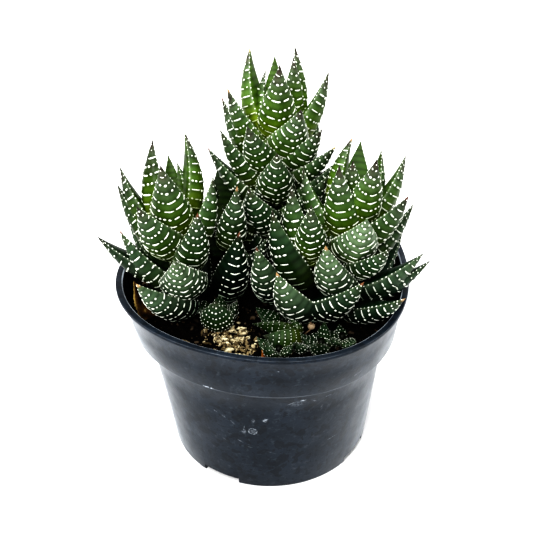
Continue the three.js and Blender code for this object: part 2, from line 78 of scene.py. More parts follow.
# Leaf rows: direction in degrees, height up the stem, lean in degrees, length and width. Then,
# where a leaf has them: how pale its dried tip is, from 0.3 for pink to 1 for cream; how grey
# its waxy skin is, up to 1, which is partly painted light on leaves lit from above, or how much
# painted shade darkens it, down to -1; and the share of its bands that is bare of tubercles, at
# the leaf's right edge, or with a minus at its left one.
ROSETTES = {
    "rosette_back": dict(
        root=(1, 8), crown=(3, 24), height=54, radius=3.6,
        leaves=[
            (165, 54.5, 27, 30, 13.5, 1.0), (-91, 54, 43, 32, 13.5), (-15, 54, 16, 31, 11.5),
            (-52, 54, 21, 28, 11), (-17, 51, 42, 30, 12.5), (-150, 48, 49, 29, 12.5, 0.7),
            (-170, 42, 47, 30, 11.5, 0.3), (-145, 36, 57, 30, 12.5), (-112, 43, 65, 31, 14),
            (-76, 49, 65, 32, 15, 0, 0.15), (-91, 33, 63, 32, 14), (-59, 44, 68, 30, 13),
            (-43, 38, 69, 29, 12, 1.0), (-168, 30, 62, 29, 12, 0.3), (-109, 22, 67, 32, 15),
            (95, 55, 39, 26, 10), (178, 54, 16, 22, 8), (-30, 30, 64, 28, 12),
            (-48, 24, 62, 31, 13), (-135, 12, 62, 30, 13), (-75, 8, 62, 30, 13),
        ],
        behind=dict(count=6, start=20, span=140, low=4, high=32, lean=62, length=31, width=13),
    ),
    "rosette_middle": dict(
        root=(-16, -9), crown=(-14, 4), height=26, radius=3.0,
        leaves=[
            (-87, 22, 57, 32, 10.5, 0.7, 0.3), (-83, 5, 53, 32, 12.5, 0.4, -0.1, -0.25),
            (102, 26, 49, 30, 11), (-38, 9, 52, 22, 10), (-25, 22, 30, 27, 10, 0.7),
        ],
        behind=dict(count=2, start=50, span=110, low=8, high=16, lean=55, length=27, width=11),
    ),
    "rosette_inner": dict(
        root=(14, -15), crown=(15, -6), height=24, radius=3.0,
        leaves=[
            (-59, 4, 74, 32, 15.5, 0.5, 0.2), (-116, 2, 65, 32, 14.5, 0.75, 0.6, 0.2),
            (-136, 13, 45, 32, 14.5, 0, -0.1, 0.2), (-127, 20, 33, 30, 12.5),
            (-95, 23, 59, 32, 11.5), (-30, 18, 35, 27, 10),
        ],
        behind=dict(count=2, start=50, span=110, low=3, high=9, lean=55, length=26, width=11),
    ),
    "rosette_front": dict(
        root=(2, -9), crown=(1, -3), height=10, radius=2.6,
        leaves=[
            (-96, 4, 66, 31, 12, 0.35, 0.5, 0.3), (-20, 7, 40, 18, 9), (-165, 7, 40, 18, 9),
        ],
        behind=dict(count=2, start=60, span=60, low=5, high=9, lean=40, length=16, width=8),
    ),
    "rosette_left": dict(
        root=(-28, -13), crown=(-35, 0), height=38, radius=3.4,
        leaves=[
            (-141, 32, 9, 31, 12.5, 0, -0.8), (-146, 29, 10, 26, 9.5, 0, -0.8),
            (14, 34, 26, 30, 13.5, 0, -0.2), (-81, 31, 46, 32, 14.5),
            (-174, 29, 35, 29, 12.5, 0, -0.5), (-178, 23, 39, 30, 11.5, 0, -0.4),
            (-103, 25, 60, 32, 14.5, 0, 0.05), (-151, 11, 47, 30, 12.5, 0.4),
            (-173, 14, 64, 31, 13.5, 0, -0.4), (-114, 4, 70, 31, 15, 0.8, 0.45),
            (-84, 12, 73, 32, 16.5, 0, 0.6), (-62, 18, 58, 32, 13, 0.4), (-24, 23, 45, 30, 12.5),
            (85, 35, 36, 21, 8), (27, 35, 21, 18, 8),
        ],
        behind=dict(count=5, start=80, span=85, low=4, high=18, lean=60, length=30, width=13),
    ),
    "rosette_right": dict(
        root=(26, -11), crown=(29, -1), height=38, radius=3.5,
        leaves=[
            (166, 36, 10, 26, 12, 0.8), (82, 33, 60, 31, 12.5), (24, 30, 25, 28, 11),
            (-77, 34, 44, 31, 13.5), (-112, 29, 43, 33, 13.5), (-8, 32, 40, 29, 12.5),
            (-50, 27, 58, 31, 13.5, 0.3), (-14, 18, 50, 30, 11), (-27, 8, 66, 31, 14, 0, 0.35),
            (-18, 5, 69, 32, 12), (-56, 1.6, 78, 32, 14, 0.7), (-69, 17, 72, 31, 12),
            (-86, 24, 66, 32, 16, 0, 0.8), (-113, 9, 58, 31, 15, 0.75, 0.75),
            (-169, 26, 44, 30, 13.5), (-101, 38, 40, 22, 9.5),
        ],
        behind=dict(count=5, start=35, span=105, low=4, high=20, lean=60, length=30, width=13),
    ),
}

# Young offsets: stem place, where their crown tilts to, how old they look, the size of their
# tubercles beside a grown leaf's where it isn't OFFSET_DOTS, and leaf rows.
OFFSETS = {
    "offset_left": dict(
        root=(-18, -18.5), age=0.75, dots=0.7,
        leaves=[
            (-97, 0.5, 32, 12, 12), (-5, 1, 50, 9, 7.5), (165, 0.5, 58, 10, 8), (85, 1, 30, 7, 6),
        ],
    ),
    "offset_centre": dict(
        root=(4.5, -22), age=0.85,
        leaves=[(157, 0.5, 80, 10, 7.5), (-65, 0.5, 60, 6, 5), (40, 1, 40, 7, 5)],
    ),
    "offset_front_left": dict(
        root=(9, -30), crown=(0, -31), age=0.5,
        leaves=[(-90, 0, 14, 12.5, 10.5), (105, 0, 22, 16, 6.5), (20, 0, 70, 7, 6)],
    ),
    "offset_front_low": dict(
        root=(3, -38), age=0.8,
        leaves=[(155, 0.5, 75, 8, 6), (-150, 0.5, 40, 8, 6.5), (-25, 1, 55, 6, 5)],
    ),
    "offset_front_middle": dict(
        root=(12, -33.5), age=0.9,
        leaves=[(-122, 0.5, 60, 7, 6), (20, 1, 60, 5, 4), (-50, 0.5, 65, 5, 4)],
    ),
    "offset_front_right": dict(
        root=(17.5, -34.5), age=0.85,
        leaves=[(70, 0.5, 30, 8, 5), (-100, 0.5, 50, 8, 7), (178, 0.5, 60, 8, 5)],
    ),
    "offset_right_edge": dict(
        root=(25, -31.5), age=0.85,
        leaves=[
            (175, 0.5, 76, 8, 7), (-50, 0.5, 72, 6.5, 5.5), (-135, 0.5, 62, 7, 4),
            (100, 0.5, 70, 5, 4.5),
        ],
    ),
}

# How much older, and so darker, the leaves of a plant look than their height on it tells, which
# is painted shade deep in the clump, and the plants that the others keep in the dark, whose skin
# is darkened as painted shade.
SHADE_AGE = {"rosette_middle": 0.35, "rosette_inner": 0.25, "rosette_front": 0.3}
SHADED = ("rosette_middle",)

# Finer leaves than the solids': points round a ring, and the relief of the bands and the keel.
OUTER_POINTS = 17
INNER_POINTS = 7
BAND_RELIEF = 0.22
KEEL_WIDTH = 0.22
KEEL_RELIEF = 0.07

# Tubercles: faces round one, samples along a dot and a dash, and sizes.
BEAD_SIDES = 6
DOT_SAMPLES = 3
DASH_SAMPLES = 9
BEAD_SIZE = 0.53
OFFSET_DOTS = 0.52
INNER_DOT_SIZE = 0.22

# Stems: how far under the soil's top they start, and faces and steps in their mesh.
STEM_BURIED = 6
STEM_SIDES = 16
STEM_LEVELS = 6

# Loose things on the soil.
CRUMB_COUNT = 1500
GRAIN_COUNT = 500
THREAD_COUNT = 70
HUSK_PLACE = (14.5, -25.8, 67.7)
STALK_FOOT = (11.7, -27.7, 65.2)

# Where each kind's random draws start.
ROSETTE_SEED = 100
OFFSET_SEED = 200
DEAD_LEAF_SEED = 5
CRUMB_SEED = 31
GRAIN_SEED = 57
STRAW_SEED = 77


# ---------------------------------------------------------------- meshes


def link(name, data):
    """An object with its data, in the scene."""
    made = bpy.data.objects.new(name, data)
    bpy.context.scene.collection.objects.link(made)
    return made


def add_object(name, places, faces):
    """A mesh object at the origin."""
    mesh = bpy.data.meshes.new(name)
    mesh.from_pydata(np.asarray(places, float).tolist(), [], faces)
    return link(name, mesh)


def make_piece(name, places, faces, material, replaces):
    """A smooth-shaded piece from places in millimetres, riding on the root body.

    It hides the nodes that it replaces and wears the given material.
    """
    piece = add_object(name, np.asarray(places, float) * MM, faces)
    piece.data.materials.append(material)
    piece.data.shade_smooth()
    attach(piece, "root")
    if replaces:
        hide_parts(*replaces)
    return piece


def add_data(piece, name, values):
    """Stores a colour for each vertex."""
    layer = piece.data.attributes.new(name, "FLOAT_COLOR", "POINT")
    layer.data.foreach_set("color", np.asarray(values, np.float32).ravel())


def join_parts(parts):
    """Several (places, faces, values...) as one."""
    faces, start = [], 0
    for places, part_faces, *_ in parts:
        faces += [tuple(v + start for v in face) for face in part_faces]
        start += len(places)
    values = [np.vstack(column) for column in list(zip(*parts))[2:]]
    return (np.vstack([part[0] for part in parts]), faces, *values)


def tinted_piece(name, parts, look, replaces):
    """One piece from (places, faces, tint) parts, with the tints kept for the shader."""
    parts = [
        (places, faces, np.tile([tint] * 3 + [1.0], (len(places), 1)))
        for places, faces, tint in parts
    ]
    places, faces, data = join_parts(parts)
    piece = make_piece(name, places, faces, look, replaces)
    add_data(piece, "tint", data)


def circle(radius, height, sides):
    """Places on a level circle round the z axis."""
    turns = [2 * math.pi * i / sides for i in range(sides)]
    return [(radius * math.cos(turn), radius * math.sin(turn), height) for turn in turns]


def ring_faces(rings, sides, start=0):
    """Four-sided faces between rings of places that follow each other from a start."""
    faces = []
    for ring in range(start, start + (rings - 1) * sides, sides):
        for i in range(sides):
            p, q = ring + i, ring + (i + 1) % sides
            faces.append((p, q, q + sides, p + sides))
    return faces


def fan_faces(start, sides, apex):
    """Three-sided faces from one ring of places to a single place."""
    return [(start + i, start + (i + 1) % sides, apex) for i in range(sides)]


def tube_faces(rings, sides):
    """The faces of rings of places that a flat face closes at both ends."""
    ends = [tuple(range(sides - 1, -1, -1)), tuple(range((rings - 1) * sides, rings * sides))]
    return ring_faces(rings, sides) + ends


def unit(vectors):
    """Vectors of length one."""
    return vectors / np.maximum(np.linalg.norm(vectors, axis=-1, keepdims=True), 1e-12)


# ---------------------------------------------------------------- materials


class Look:
    """One material's node tree, with short calls to add and link nodes."""

    def __init__(self, name, **plain):
        self.material = bpy.data.materials.new(name)
        self.material.use_nodes = True
        self.tree = self.material.node_tree
        self.shader = self.tree.nodes["Principled BSDF"]
        for socket, value in plain.items():
            self.shader.inputs[socket.replace("_", " ")].default_value = value

    def add(self, kind, inputs=None, **settings):
        """A node with its settings, and inputs that are numbers or other nodes' sockets."""
        made = self.tree.nodes.new("ShaderNode" + kind)
        for key, value in settings.items():
            setattr(made, key, value)
        for key, value in (inputs or {}).items():
            self.put(made.inputs[key], value)
        return made

    def put(self, socket, value):
        """Links an output to the socket, or sets the socket's value."""
        if isinstance(value, bpy.types.NodeSocket):
            self.tree.links.new(value, socket)
        else:
            socket.default_value = value

    def math(self, how, first, second=0.0):
        """The result of one calculation."""
        return self.add("Math", {0: first, 1: second}, operation=how).outputs[0]

    def times(self, first, *others):
        """Values multiplied."""
        for other in others:
            first = self.math("MULTIPLY", first, other)
        return first

    def channels(self, name):
        """Red, green, blue and alpha of a colour that is stored for each vertex."""
        stored = self.add("Attribute", attribute_name=name).outputs
        split = self.add("SeparateColor", {"Color": stored["Color"]})
        return (*split.outputs, stored["Alpha"])

    def ramp(self, factor, stops):
        """Colours along a factor, from (place, colour) stops."""
        made = self.add("ValToRGB", {"Fac": factor})
        elements = made.color_ramp.elements
        while len(elements) < len(stops):
            elements.new(0.5)
        for element, (place, colour) in zip(elements, stops):
            element.position = place
            element.color = (*colour, 1.0)
        return made.outputs["Color"]

    def mix(self, factor, first, second, how="MIX"):
        """Two colours mixed by a factor."""
        made = self.add("Mix", data_type="RGBA", blend_type=how)
        self.put(made.inputs[0], factor)
        for socket, value in ((made.inputs[6], first), (made.inputs[7], second)):
            self.put(socket, (*value, 1.0) if isinstance(value, tuple) else value)
        return made.outputs[2]

    def noise(self, scale, detail=3.0, roughness=0.55):
        """Noise in object space, with its scale in repeats per metre."""
        where = self.add("TexCoord").outputs["Object"]
        inputs = {"Vector": where, "Scale": scale, "Detail": detail, "Roughness": roughness}
        return self.add("TexNoise", inputs).outputs["Fac"]

    def range(self, value, low, high, new_low=0.0, new_high=1.0):
        """The value moved from one range to another and kept inside it."""
        inputs = {"Value": value, "From Min": low, "From Max": high}
        inputs |= {"To Min": new_low, "To Max": new_high}
        return self.add("MapRange", inputs, interpolation_type="SMOOTHSTEP").outputs["Result"]

    def cloud(self, low, high, scale, *detail):
        """Soft noise spread from a low to a high value."""
        return self.range(self.noise(scale, *detail), 0.3, 0.7, low, high)

    def bump(self, height, strength, distance):
        """Relief from a height on the shader's normal."""
        made = self.add("Bump", {"Height": height, "Strength": strength, "Distance": distance})
        self.put(self.shader.inputs["Normal"], made.outputs["Normal"])

    def colour(self, value):
        """Sets the shader's base colour."""
        self.put(self.shader.inputs["Base Color"], value)

    def roughness(self, value):
        """Sets the shader's roughness."""
        self.put(self.shader.inputs["Roughness"], value)


# Leaf skin from root to tip, young and old, and a dried tip from dark pink to cream.
YOUNG_SKIN = [
    (0.0, (0.112, 0.146, 0.004)),
    (0.22, (0.110, 0.160, 0.005)),
    (0.42, (0.066, 0.127, 0.006)),
    (0.62, (0.045, 0.088, 0.009)),
    (0.79, (0.064, 0.090, 0.044)),
    (0.91, (0.052, 0.038, 0.034)),
    (1.0, (0.022, 0.009, 0.011)),
]
OLD_SKIN = [
    (0.0, (0.0015, 0.006, 0.004)),
    (0.28, (0.003, 0.013, 0.008)),
    (0.5, (0.0075, 0.029, 0.015)),
    (0.7, (0.018, 0.053, 0.024)),
    (0.9, (0.045, 0.078, 0.032)),
    (1.0, (0.050, 0.038, 0.026)),
]
DRY_TIP = [
    (0.0, (0.06, 0.03, 0.025)),
    (0.3, (0.12, 0.050, 0.038)),
    (0.5, (0.22, 0.105, 0.055)),
    (0.75, (0.40, 0.26, 0.13)),
    (1.0, (0.62, 0.50, 0.28)),
]
YOUNG_INNER_FACE = (0.055, 0.105, 0.016)
OLD_INNER_FACE = (0.009, 0.034, 0.013)
WAX = (0.12, 0.17, 0.10)
# Waxy bloom and painted sheen for the flanks.
BLOOM_AND_SHEEN = (0.12, 0.18, 0.11)
MARGIN = (0.36, 0.42, 0.28)


def leaf_look():
    """Waxy leaf skin: yellow-green where young, dark bluish green where old, brown at the tip, with
    painted shade and painted sheen.
    """
    look = Look("leaf_skin", IOR=1.42, Specular_IOR_Level=0.2)
    along, inner, age, tip = look.channels("leaf_data")
    side, band, tone_and_shade, pale = look.channels("leaf_place")
    wander = look.math("ADD", along, look.cloud(-0.05, 0.05, 260))
    skin = look.mix(age, look.ramp(wander, YOUNG_SKIN), look.ramp(wander, OLD_SKIN))
    inner_skin = look.mix(age, YOUNG_INNER_FACE, OLD_INNER_FACE)
    skin = look.mix(look.times(inner, 0.7), skin, inner_skin)
    outside = look.math("SUBTRACT", 1.0, inner)
    # Grey wax, partly painted light on leaves lit from above.
    skin = look.mix(look.times(pale, outside, look.range(along, 0.15, 0.7)), skin, WAX)
    # Waxy bloom and painted sheen: paler flanks of the outer face.
    bloom_and_sheen = look.times(look.range(side, 0.4, 1.0, 0.0, 0.22), outside)
    skin = look.mix(look.times(bloom_and_sheen, look.range(along, 0.1, 0.4)), skin, BLOOM_AND_SHEEN)
    margin = look.times(look.range(side, 0.92, 1.0), look.range(along, 0.15, 0.5, 0.0, 0.3))
    skin = look.mix(margin, skin, MARGIN)
    blotches = look.cloud(0.78, 1.22, 150)
    # Painted shade: darker on the bands of tubercles, lighter between them.
    grey = look.times(blotches, look.range(band, 0.0, 1.0, 1.15, 0.7))
    # Each leaf's tone, with painted shade for old, shadowed and shaded leaves.
    grey = look.times(grey, look.range(tone_and_shade, 0.0, 1.0, 0.25, 1.3))
    shade = look.add("CombineColor", {0: grey, 1: grey, 2: grey}).outputs[0]
    skin = look.mix(1.0, skin, shade, "MULTIPLY")
    dried = look.times(look.range(along, 0.92, 0.965), look.range(tip, 0.02, 0.2))
    look.colour(look.mix(dried, skin, look.ramp(tip, DRY_TIP)))
    look.roughness(look.cloud(0.36, 0.5, 600))
    look.bump(look.noise(1400, 4.0), 0.12, 0.0002)
    return look.material


def bead_look():
    """White waxy tubercles, thinner and greener where they melt into the skin."""
    look = Look("leaf_beads", Roughness=0.55, IOR=1.42, Specular_IOR_Level=0.2)
    along, _, age, _ = look.channels("leaf_data")
    green = look.mix(age, (0.40, 0.50, 0.10), (0.16, 0.26, 0.16))
    cloud = look.range(look.noise(500), 0.35, 0.65)
    white = look.mix(cloud, (0.68, 0.72, 0.62), (0.80, 0.81, 0.75))
    look.colour(look.mix(look.range(along, 0.02, 0.42, 0.8, 0.0), white, green))
    return look.material


# Scuffs on the front of the pot's wall: place across and up, half length, half width, tilt in
# degrees and strength.
SCUFFS = [
    (-21.2, 54.2, 2.6, 0.5, -4, 0.6),
    (-20.6, 52.5, 2.2, 0.4, -10, 0.4),
    (-18.6, 51.3, 1.5, 0.3, -25, 0.25),
    (-18.8, 53.2, 1.2, 0.5, -30, 0.3),
    (-19.5, 38.0, 1.0, 0.4, -35, 0.16),
    (-16.6, 36.6, 1.1, 0.35, -40, 0.14),
    (-13.4, 34.3, 1.6, 0.3, -50, 0.10),
    (7.2, 46.4, 1.8, 0.25, 25, 0.2),
    (11.4, 47.4, 1.5, 0.5, 12, 0.42),
    (9.3, 45.0, 0.9, 0.35, 60, 0.16),
    (15.6, 46.0, 1.0, 0.4, -20, 0.14),
    (20.4, 46.6, 1.4, 0.35, 5, 0.22),
    (18.2, 41.6, 1.5, 0.6, 80, 0.08),
    (-1.6, 37.9, 1.7, 0.5, 32, 0.18),
    (-9.4, 32.6, 1.7, 0.25, 78, 0.14),
    (-10.8, 25.0, 1.4, 0.25, -28, 0.2),
    (-7.4, 22.4, 1.2, 0.25, -5, 0.16),
    (22.4, 21.4, 2.3, 0.22, 10, 0.16),
    (2.8, 67.4, 0.6, 0.25, -10, 0.3),
    (30.0, 57.5, 2.6, 0.35, 15, 0.12),
    (-1.9, 37.6, 1.3, 1.3, 0, 0.2),
    (-9.4, 30.6, 1.1, 1.5, 0, 0.16),
    (-6.0, 36.9, 0.8, 1.1, 0, 0.14),
    (9.5, 46.0, 3.4, 1.8, 5, 0.07),
    (-4.0, 52.2, 3.2, 0.25, -3, 0.14),
    (-10.0, 53.0, 5.5, 0.2, -3, 0.12),
    (-16.5, 24.0, 1.6, 0.25, -30, 0.08),
    (0.5, 20.0, 2.4, 0.25, -20, 0.07),
    (15.0, 51.5, 2.6, 0.35, 14, 0.10),
    (21.0, 53.2, 3.0, 0.25, 14, 0.12),
]
# A pale ring: place across and up, radius and thickness.
RING_MARK = (-6.3, 31.3, 1.45, 0.4)


def mark_distance(look, where, x, z, wide, high, tilt=0.0):
    """Distance from a mark's middle on the front, 1 at its edge."""
    inputs = {
        "Vector": where,
        "Location": (x * MM, 0, z * MM),
        "Rotation": (0, -math.radians(tilt), 0),
        "Scale": (wide * MM, 1e3, high * MM),
    }
    placed = look.add("Mapping", inputs, vector_type="TEXTURE").outputs[0]
    return look.add("VectorMath", {0: placed}, operation="LENGTH").outputs["Value"]


def pot_look():
    """Satin black plastic with dark water blotches, fine dust and pale scuffs on the front, and
    painted highlights on the lip's edge and the collar's step.
    """
    look = Look(
        "pot_plastic",
        IOR=1.48,
        Specular_IOR_Level=0.22,
        Sheen_Weight=0.4,
        Sheen_Roughness=0.35,
        Sheen_Tint=(0.9, 0.95, 1, 1),
    )
    where = look.add("TexCoord").outputs["Object"]
    _, across, high = look.add("SeparateXYZ", {0: where}).outputs
    base = look.mix(
        look.range(look.noise(70, 5.0), 0.35, 0.65),
        (0.0065, 0.0115, 0.019),
        (0.013, 0.0205, 0.032),
    )
    blotch = look.range(look.noise(240, 1.5, 0.4), 0.58, 0.62)
    specks = look.range(look.noise(560, 2.0, 0.5), 0.56, 0.64)
    stains = look.math("MAXIMUM", blotch, specks)
    dust = look.range(look.noise(420, 6.0, 0.7), 0.52, 0.74)
    colour = look.mix(look.times(dust, 0.28), base, (0.10, 0.12, 0.14))
    colour = look.mix(look.times(stains, 0.6), colour, (0.002, 0.004, 0.007))
    marks = 0.0
    for x, z, half, thin, tilt, strength in SCUFFS:
        away = mark_distance(look, where, x, z, half, thin, tilt)
        marks = look.math("ADD", marks, look.range(away, 1.0, 0.35, 0.0, strength))
    x, z, radius, thin = RING_MARK
    away = mark_distance(look, where, x, z, 1, 1)
    off = look.math("ABSOLUTE", look.math("SUBTRACT", away, radius))
    marks = look.math("ADD", marks, look.range(off, thin, 0.1, 0.0, 0.24))
    marks = look.math("ADD", marks, look.range(away, 1.3, 0.9, 0.0, 0.1))
    grit = look.range(look.noise(1500, 4.0, 0.7), 0.42, 0.58)
    marks = look.times(marks, grit, look.math("LESS_THAN", across, 0.0), 1.6)
    marks = look.math("MINIMUM", marks, 0.9)
    # Painted highlight: pale thin lines on the lip's rounded outer edge and along the collar's
    # step.
    up = look.add("SeparateXYZ", {0: look.add("NewGeometry").outputs["Normal"]}).outputs[2]
    at_lip = look.math("GREATER_THAN", high, (POT_HEIGHT - 2) * MM)
    edge_highlight = look.times(look.range(up, 0.25, 0.5), look.range(up, 0.97, 0.8), at_lip)
    step = look.math("ABSOLUTE", look.math("SUBTRACT", high, (COLLAR_BOTTOM + 0.25) * MM))
    edge_highlight = look.math("ADD", edge_highlight, look.range(step, 0.5 * MM, 0.1 * MM, 0.0, 0.15))
    edge_highlight = look.times(edge_highlight, look.range(look.noise(120, 3.0), 0.35, 0.6, 0.2, 0.9))
    # From here the marks hold the painted edge highlight as well as the scuffs.
    marks = look.math("MAXIMUM", marks, edge_highlight)
    look.colour(look.mix(marks, colour, (0.55, 0.60, 0.66)))
    gloss = look.cloud(0.32, 0.44, 160, 5.0)
    look.roughness(look.math("ADD", gloss, look.times(marks, 0.4)))
    look.bump(look.noise(900, 5.0), 0.10, 0.0003)
    return look.material


def shaded_pot_inside_look():
    """The dull inside of the pot's wall, its colour darker than the outside as painted shade."""
    look = Look("pot_inside_shaded", Specular_IOR_Level=0.1)
    stops = [(0.35, (0.002, 0.003, 0.004)), (0.7, (0.010, 0.011, 0.012))]
    look.colour(look.ramp(look.noise(500, 5.0), stops))
    look.roughness(look.cloud(0.6, 0.8, 300))
    return look.material


def soil_look():
    """Damp dark potting mix."""
    look = Look("soil_mix", Specular_IOR_Level=0.05)
    stops = [
        (0.3, (0.0015, 0.0015, 0.0015)),
        (0.55, (0.007, 0.0055, 0.0045)),
        (0.75, (0.026, 0.020, 0.015)),
    ]
    look.colour(look.ramp(look.noise(700, 5.0, 0.65), stops))
    look.roughness(look.cloud(0.75, 0.95, 500))
    look.bump(look.noise(2200, 6.0, 0.7), 0.7, 0.0008)
    return look.material


def crumb_look(name, dark, middle, pale):
    """Crumbs whose shade changes from one to the next."""
    look = Look(name, Specular_IOR_Level=0.08)
    tint = look.add("Attribute", attribute_name="tint").outputs["Fac"]
    shade = look.ramp(tint, [(0.0, dark), (0.5, middle), (1.0, pale)])
    stops = [(0.3, (0.45, 0.42, 0.38)), (0.7, (1.0, 1.0, 1.0))]
    grain = look.ramp(look.noise(1600, 5.0, 0.7), stops)
    look.colour(look.mix(1.0, shade, grain, "MULTIPLY"))
    look.roughness(look.cloud(0.75, 0.95, 900))
    look.bump(look.noise(3000, 6.0, 0.7), 0.6, 0.0004)
    return look.material


# ---------------------------------------------------------------- leaves


def width_share(s):
    """Share of the full width along a leaf, widest a fifth of the way up."""
    return 1.13 * (1 - s**1.65) * (0.8 + 1.05 * s * (1 - s))


def row_places(length, rng):
    """Shares along a leaf where a band of tubercles runs, closer together near the tip."""
    count = max(5, round(length / (0.7 + 0.068 * length)))
    t = np.linspace(0, 1, count)
    places = 0.95 - 0.9 * (0.72 * t + 0.55 * t**2 - 0.27 * t**3)
    places[1:-1] += rng.uniform(-0.006, 0.006, count - 2)
    return places


def stem_line(stem):
    """A stem's foot and the direction towards its crown."""
    foot = np.array([*stem["root"], SOIL_TOP + 1.0])
    top = np.array([*stem["crown"], SOIL_TOP + 1.0 + stem["height"]])
    return foot, unit(top - foot)


class Leaf:
    """One leaf: places on its skin from a share along it and a share across it."""

    def __init__(self, stem, row, age, rng):
        direction, height, lean, self.length, width = row[:5]
        self.half = width / 2
        foot, self.up = stem_line(stem)
        out = np.array([math.cos(math.radians(direction)), math.sin(math.radians(direction)), 0.0])
        self.out = unit(out - self.up * (out @ self.up))
        self.side = np.cross(self.up, self.out)
        self.base = foot + self.up * height + self.out * ROOT_SHARE * stem["radius"]
        self.lean = math.radians(lean)
        self.age = age
        self.tip = row[5] if len(row) > 5 else 0.0
        self.pale = row[6] if len(row) > 6 else 0.1
        self.bare = row[7] if len(row) > 7 else 0.0
        # Darker for older leaves, darker still as painted shade for a minus, and less dark for grey
        # wax, which is partly painted light.
        shade = 0.78 - 0.35 * age * (1 - max(self.pale, 0)) + 0.5 * min(self.pale, 0)
        # Shaded plants and offsets get painted shade.
        shade -= 0.2 if stem.get("shaded") else 0
        self.tone_and_shade = float(np.clip(shade + rng.uniform(-0.12, 0.12), 0, 1))
        self.skew = rng.uniform(-0.12, 0.12)
        self.rows = row_places(self.length, rng)
        self.marks = np.r_[self.rows[0] + 0.08, self.rows, self.rows[-1] - 0.09]

    def midline(self, s):
        """Places on the midline and the outer face's direction there."""
        s = np.asarray(s, float)[..., None]
        tilt = self.lean - LEAF_CURL * s
        reach = self.length / -LEAF_CURL * (math.cos(self.lean) - np.cos(tilt))
        rise = self.length / -LEAF_CURL * (np.sin(tilt) - math.sin(self.lean))
        place = self.base + self.up * rise + self.out * reach
        face = self.out * np.cos(tilt) - self.up * np.sin(tilt)
        return place, face

    def band(self, s):
        """1 on a band of tubercles and 0 halfway between two."""
        order = np.interp(s, self.marks[::-1], np.arange(len(self.marks))[::-1].astype(float))
        return (0.5 + 0.5 * np.cos(2 * math.pi * order)) ** 1.4

    def outer(self, s, a):
        """Places on the keeled outer face, a from -1 at one margin to 1 at the other."""
        place, face = self.midline(s)
        angle = np.asarray(a, float) * math.pi / 2
        share = width_share(s)
        across = np.sin(angle)
        lift = np.cos(angle) ** 0.82
        keel = np.exp(-(((across - self.skew) / KEEL_WIDTH) ** 2)) * KEEL_RELIEF
        relief = BAND_RELIEF * self.band(s) * np.minimum(1, share * self.half / 3)
        depth = self.half * KEEL_SHARE * share * lift * (1 - KEEL_RELIEF + keel)
        depth += relief * np.cos(angle) ** 0.4
        wide = (self.half * share + relief * 0.3) * across
        return place + self.side * wide[..., None] + face * depth[..., None]

    def inner(self, s, a):
        """Places on the nearly flat inner face."""
        place, face = self.midline(s)
        wide = self.half * width_share(s)
        depth = self.half * INNER_SHARE * width_share(s) + 0.25 * (1 - np.asarray(s) ** 4)
        angle = np.asarray(a, float) * math.pi / 2
        across = self.side * (wide * np.sin(angle))[..., None]
        return place + across - face * (depth * np.cos(angle))[..., None]

    def axes(self, s, a):
        """Place, outward normal and direction towards the tip on the outer face."""
        step = 0.004
        place = self.outer(s, a)
        along = unit(self.outer(s + step, a) - self.outer(s - step, a))
        right, left = (self.outer(s, np.clip(a + turn, -1, 1)) for turn in (step, -step))
        across = unit(right - left)
        return place, unit(np.cross(across, along)), along

    def data(self, count):
        """The shader's values that are the same all over the leaf."""
        return np.tile([0.0, 0.0, self.age, self.tip], (count, 1))


def leaf_mesh(leaf):
    """Rings of the leaf's skin, closed at the root and drawn to a point."""
    steps = [np.linspace(b, a, 5)[:-1] for a, b in zip(leaf.marks, leaf.marks[1:])]
    s = np.unique(np.clip(np.concatenate([*steps, [0.0, leaf.marks[0]]]), 0, 0.992).round(5))
    s = s[np.r_[True, np.diff(s) > 0.004]]
    a_out = np.linspace(-1, 1, OUTER_POINTS)
    a_in = np.linspace(1, -1, INNER_POINTS + 2)[1:-1]
    count = OUTER_POINTS + INNER_POINTS
    total = len(s)
    outer = leaf.outer(s[:, None] * np.ones(OUTER_POINTS), a_out * np.ones((total, 1)))
    inner = leaf.inner(s[:, None] * np.ones(INNER_POINTS), a_in * np.ones((total, 1)))
    rings = np.concatenate([outer, inner], axis=1).reshape(-1, 3)
    places = np.vstack([rings, leaf.midline(1.0)[0].reshape(1, 3)])
    faces = ring_faces(total, count)
    faces += fan_faces((total - 1) * count, count, len(places) - 1)
    faces.append(tuple(range(count - 1, -1, -1)))
    data = leaf.data(len(places))
    data[:-1, 0] = np.repeat(s, count)
    data[-1, 0] = 1
    data[:-1, 1] = np.tile(np.r_[np.zeros(OUTER_POINTS), np.ones(INNER_POINTS)], total)
    where = np.ones((len(places), 4))
    where[:-1, 0] = np.tile(np.abs(np.r_[a_out, a_in]), total)
    where[:-1, 1] = np.repeat(leaf.band(s), count)
    where[:, 2] = leaf.tone_and_shade
    where[:, 3] = max(leaf.pale, 0)
    return places, faces, data, where


